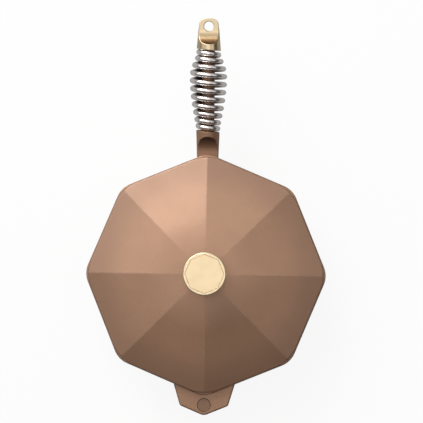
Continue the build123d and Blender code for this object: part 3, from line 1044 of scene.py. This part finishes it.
def plain_steel():
    """Turned steel of the screw, the washer and the stud."""
    material, tree, point = new_material("turned steel", Metallic=1.0)
    turning = put_group(tree, "turning", point, Lines_per_metre=4200.0)
    smudges = put_group(tree, "smudges", point, Patches_per_metre=120.0)
    wear = wear_mask(tree, point, "edge", 0.7)
    colour = coats(tree, steel_plain, (smudges["Mask"], steel_smudge), (wear, steel_worn))
    sheen = spread(tree, smudges["Mask"], 0.0, 1.0, 0.28, 0.40)
    rough = add_share(tree, sheen, turning["Height"], 0.08)
    finish(tree, colour, rough, turning["Height"], 0.008 * mm)
    return material


# Studio

# Direction in which the surroundings are brightest
bright_turn, bright_height = radians(122), radians(42)
bright_side = (cos(bright_turn) * cos(bright_height), sin(bright_turn) * cos(bright_height),
               sin(bright_height))
glow_focus = 1.4
glow_strength = 0.8
glow_floor = 0.07
glow_colour = (1.0, 0.99, 0.98, 1)
horizon = 0.35
white = (1, 1, 1, 1)

# Ground: its paint as light finds it and as the camera does, and the share of white laid over it
paint_lit = (0.30, 0.30, 0.30)
paint_seen = (0.92, 0.92, 0.92)
white_seen = 0.9
white_reflected = 0.15

# Lamps: name, place, sides and power
lamps = (
    ("key", (-1.1, 1.98, 1.36), (1.9, 1.4), 54.0),
    ("overhead", (-0.02, 0.04, 2.4), (1.3, 1.3), 4.2),
    ("fill", (1.6, 0.1, 2.1), (1.2, 1.2), 3.4),
)
lamp_target = Vector((0, 0, 0.05))


def make_ground():
    """Pale floor, almost white to the camera and darker to what it lights."""
    start()
    bpy.ops.mesh.primitive_plane_add(size=30, location=(0, 0, -0.2 * mm))
    ground = bpy.context.object
    ground.name = "ground"
    bpy.ops.object.transform_apply(location=True)
    material = bpy.data.materials.new("pale ground")
    material.use_nodes = True
    tree = material.node_tree
    tree.nodes.clear()
    rays = tree.nodes.new("ShaderNodeLightPath").outputs
    seen = rays["Is Camera Ray"]
    reflected = maths(tree, "MAXIMUM", rays["Is Glossy Ray"], rays["Is Transmission Ray"])
    shade = blend_colours(tree, seen, paint_lit, paint_seen)
    paint = node(tree, "ShaderNodeBsdfDiffuse", (("Color", shade),)).outputs[0]
    shine = node(tree, "ShaderNodeEmission", (("Color", white), ("Strength", 1.0))).outputs[0]
    share = add_share(tree, maths(tree, "MULTIPLY", seen, white_seen), reflected, white_reflected)
    mix = node(tree, "ShaderNodeMixShader", ((0, share), (1, paint), (2, shine))).outputs[0]
    tree.links.new(mix, node(tree, "ShaderNodeOutputMaterial").inputs["Surface"])
    ground.data.materials.append(material)


def make_surroundings():
    """White to the camera, and to all else a glow from one side above the horizon."""
    world = bpy.data.worlds.new("studio")
    bpy.context.scene.world = world
    world.use_nodes = True
    tree = world.node_tree
    tree.nodes.clear()
    seen = tree.nodes.new("ShaderNodeLightPath").outputs["Is Camera Ray"]
    toward = tree.nodes.new("ShaderNodeTexCoord").outputs["Object"]
    facing = node(tree, "ShaderNodeVectorMath", ((0, toward), (1, bright_side)), operation="DOT_PRODUCT")
    glow = maths(tree, "POWER", spread(tree, facing.outputs["Value"], 0.0, 1.0), glow_focus)
    height = node(tree, "ShaderNodeSeparateXYZ", ((0, toward),)).outputs["Z"]
    lit = maths(tree, "MULTIPLY", glow, spread(tree, height, 0.0, horizon))
    strength = maths(tree, "ADD", maths(tree, "MULTIPLY", lit, glow_strength), glow_floor)
    around = node(tree, "ShaderNodeBackground", (("Color", glow_colour), ("Strength", strength))).outputs[0]
    backdrop = node(tree, "ShaderNodeBackground", (("Color", white), ("Strength", 1.0))).outputs[0]
    mix = node(tree, "ShaderNodeMixShader", ((0, seen), (1, around), (2, backdrop))).outputs[0]
    tree.links.new(mix, node(tree, "ShaderNodeOutputWorld").inputs["Surface"])


def make_lamps():
    """Soft lamps that face the lid."""
    for name, centre, sides, power in lamps:
        lamp = bpy.data.lights.new(name, "AREA")
        lamp.shape = "RECTANGLE"
        lamp.size, lamp.size_y = sides
        lamp.energy = power
        light = bpy.data.objects.new(name, lamp)
        light.location = centre
        light.rotation_euler = (lamp_target - Vector(centre)).to_track_quat("-Z", "Y").to_euler()
        bpy.context.scene.collection.objects.link(light)


def make_camera():
    rx, ry, rz = camera_turn
    to_camera = Matrix.Rotation(rz, 3, "Z") @ Matrix.Rotation(ry, 3, "Y") @ Matrix.Rotation(rx, 3, "X")
    data = bpy.data.cameras.new("camera")
    data.lens = camera_lens
    data.sensor_width = 36.0
    data.clip_start = 0.05
    data.clip_end = 100.0
    camera = bpy.data.objects.new("camera", data)
    bpy.context.scene.collection.objects.link(camera)
    camera.matrix_world = Matrix.Translation(camera_place) @ to_camera.transposed().to_4x4()
    bpy.context.scene.camera = camera


# Assembly

def mark_shape(piece, faint=0.25, full=0.6, largest=12.0):
    """Marks faces by how far they bend, for wear where they bulge and for grime and painted shade where
    they are hollow.

    A mark goes from 0 at the faint bend to 1 at the full one, in radians per millimetre. Faces above
    the largest area, in square millimetres, are the flat ones beside an edge and stay plain.
    """
    mesh = piece.data
    edge = mesh.attributes.new("edge", "FLOAT", "FACE")
    hollow = mesh.attributes.new("hollow", "FLOAT", "FACE")
    for face in mesh.polygons:
        if face.area > largest * mm * mm:
            continue
        corners = [mesh.vertices[i] for i in face.vertices]
        bend = 0.0
        for here, there in zip(corners, corners[1:] + corners[:1]):
            step = here.co - there.co
            turn = (here.normal - there.normal).dot(step) / max(step.length_squared, 1e-12)
            if abs(turn) > abs(bend):
                bend = turn
        share = (abs(bend) * mm - faint) / (full - faint)
        marks = edge if bend > 0 else hollow
        marks.data[face.index].value = min(max(share, 0.0), 1.0)


def mark_painted_shade(piece, share):
    """Marks where painted shade darkens a piece, from the place of each vertex and the way it faces."""
    marks = piece.data.attributes.new("painted_shade", "FLOAT", "POINT")
    for vertex in piece.data.vertices:
        marks.data[vertex.index].value = min(max(share(vertex.co, vertex.normal), 0.0), 1.0)


def shade_on_scoop(point, facing, first, last):
    """Share of painted shade on a scoop's ramp between two distances along the handle, deepest where it is
    steep.
    """
    gentle, steep = 0.15, 0.6
    back = handle_place.inverted()
    if not first < (back @ point).y < last:
        return 0.0
    return (abs((back.to_3x3() @ facing).y) - gentle) / (steep - gentle)


def shade_on_pan(point, facing):
    """Share of painted shade on the collar's scoop and in the tab's recess."""
    away = hypot(point.x, point.y - medallion_y)
    if away < medallion_radius - 0.1 * mm and tab_top - 1 * mm < point.z < tab_top - 0.1 * mm:
        return 1.0 if away > medallion_radius - 0.7 * mm else 0.35
    return shade_on_scoop(point, facing, -collar_scoop_foot, -collar_crest + 0.2 * mm)


def shade_on_wire(point, facing):
    """Share of painted shade on the side of the wire that faces into the coil, where the strands shade each
    other.
    """
    back = handle_place.inverted()
    spot = back @ point
    outward = Vector((spot.x, 0, spot.z)).normalized().dot(back.to_3x3() @ facing)
    return 0.9 * (0.05 - outward) / 0.5


def shade_on_cap(point, facing):
    """Share of painted shade on the cap's scoop."""
    return shade_on_scoop(point, facing, coil_space + cap_crest, coil_space + cap_foot)


def smooth(piece, angle):
    """Smooth shading that keeps flat faces flat, and edges sharp beyond an angle in degrees."""
    activate(piece)
    bpy.ops.object.shade_smooth_by_angle(angle=radians(angle))
    change = piece.modifiers.new("normals", "WEIGHTED_NORMAL")
    change.keep_sharp = True
    bpy.ops.object.modifier_apply(modifier=change.name)


def dress(piece, node_name, body, slot, material, angle=32, painted_shade=None, **bends):
    """Gives a piece its marks, shading and material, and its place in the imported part."""
    mark_shape(piece, **bends)
    # Painted shade, marked by the place and facing of each vertex
    if painted_shade:
        mark_painted_shade(piece, painted_shade)
    smooth(piece, angle)
    piece.data.materials.clear()
    piece.data.materials.append(material)
    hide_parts(node_name)
    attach(piece, body)


# The lid's iron is darkened towards its rim as painted shade.
lid_iron = cast_iron("seasoned cast iron", 0.93, 1.78, 0.5)
# The pan's iron is the same iron made darker, as painted shade for the pan's lower parts in the shadow of
# the lid.
shaded_pan_iron = cast_iron("seasoned cast iron, shaded copy", 0.78, 1.6)
gold, wire, steel = brass(), bright_wire(), plain_steel()

dress(make_pan(), "pan_casting", "skillet", "seasoned_iron", shaded_pan_iron, painted_shade=shade_on_pan)
dress(make_coil(), "handle_coil", "skillet", "polished_steel", wire, painted_shade=shade_on_wire)
dress(make_cap(), "end_cap", "skillet", "brass", gold, painted_shade=shade_on_cap, faint=0.4, full=1.0)
dress(make_lid(), "lid_casting", "lid", "seasoned_iron", lid_iron, angle=14,
      faint=0.03, full=0.14, largest=1000.0)
dress(make_knob(), "lid_knob", "lid", "brass", gold)
dress(make_washer(), "knob_washer", "lid", "plain_steel", steel)
dress(make_screw(), "knob_screw", "lid", "plain_steel", steel)

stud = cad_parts["cap_stud"]
stud.data.materials.clear()
stud.data.materials.append(steel)

make_ground()
make_surroundings()
make_lamps()
make_camera()
bpy.context.scene.view_settings.view_transform = "Standard"
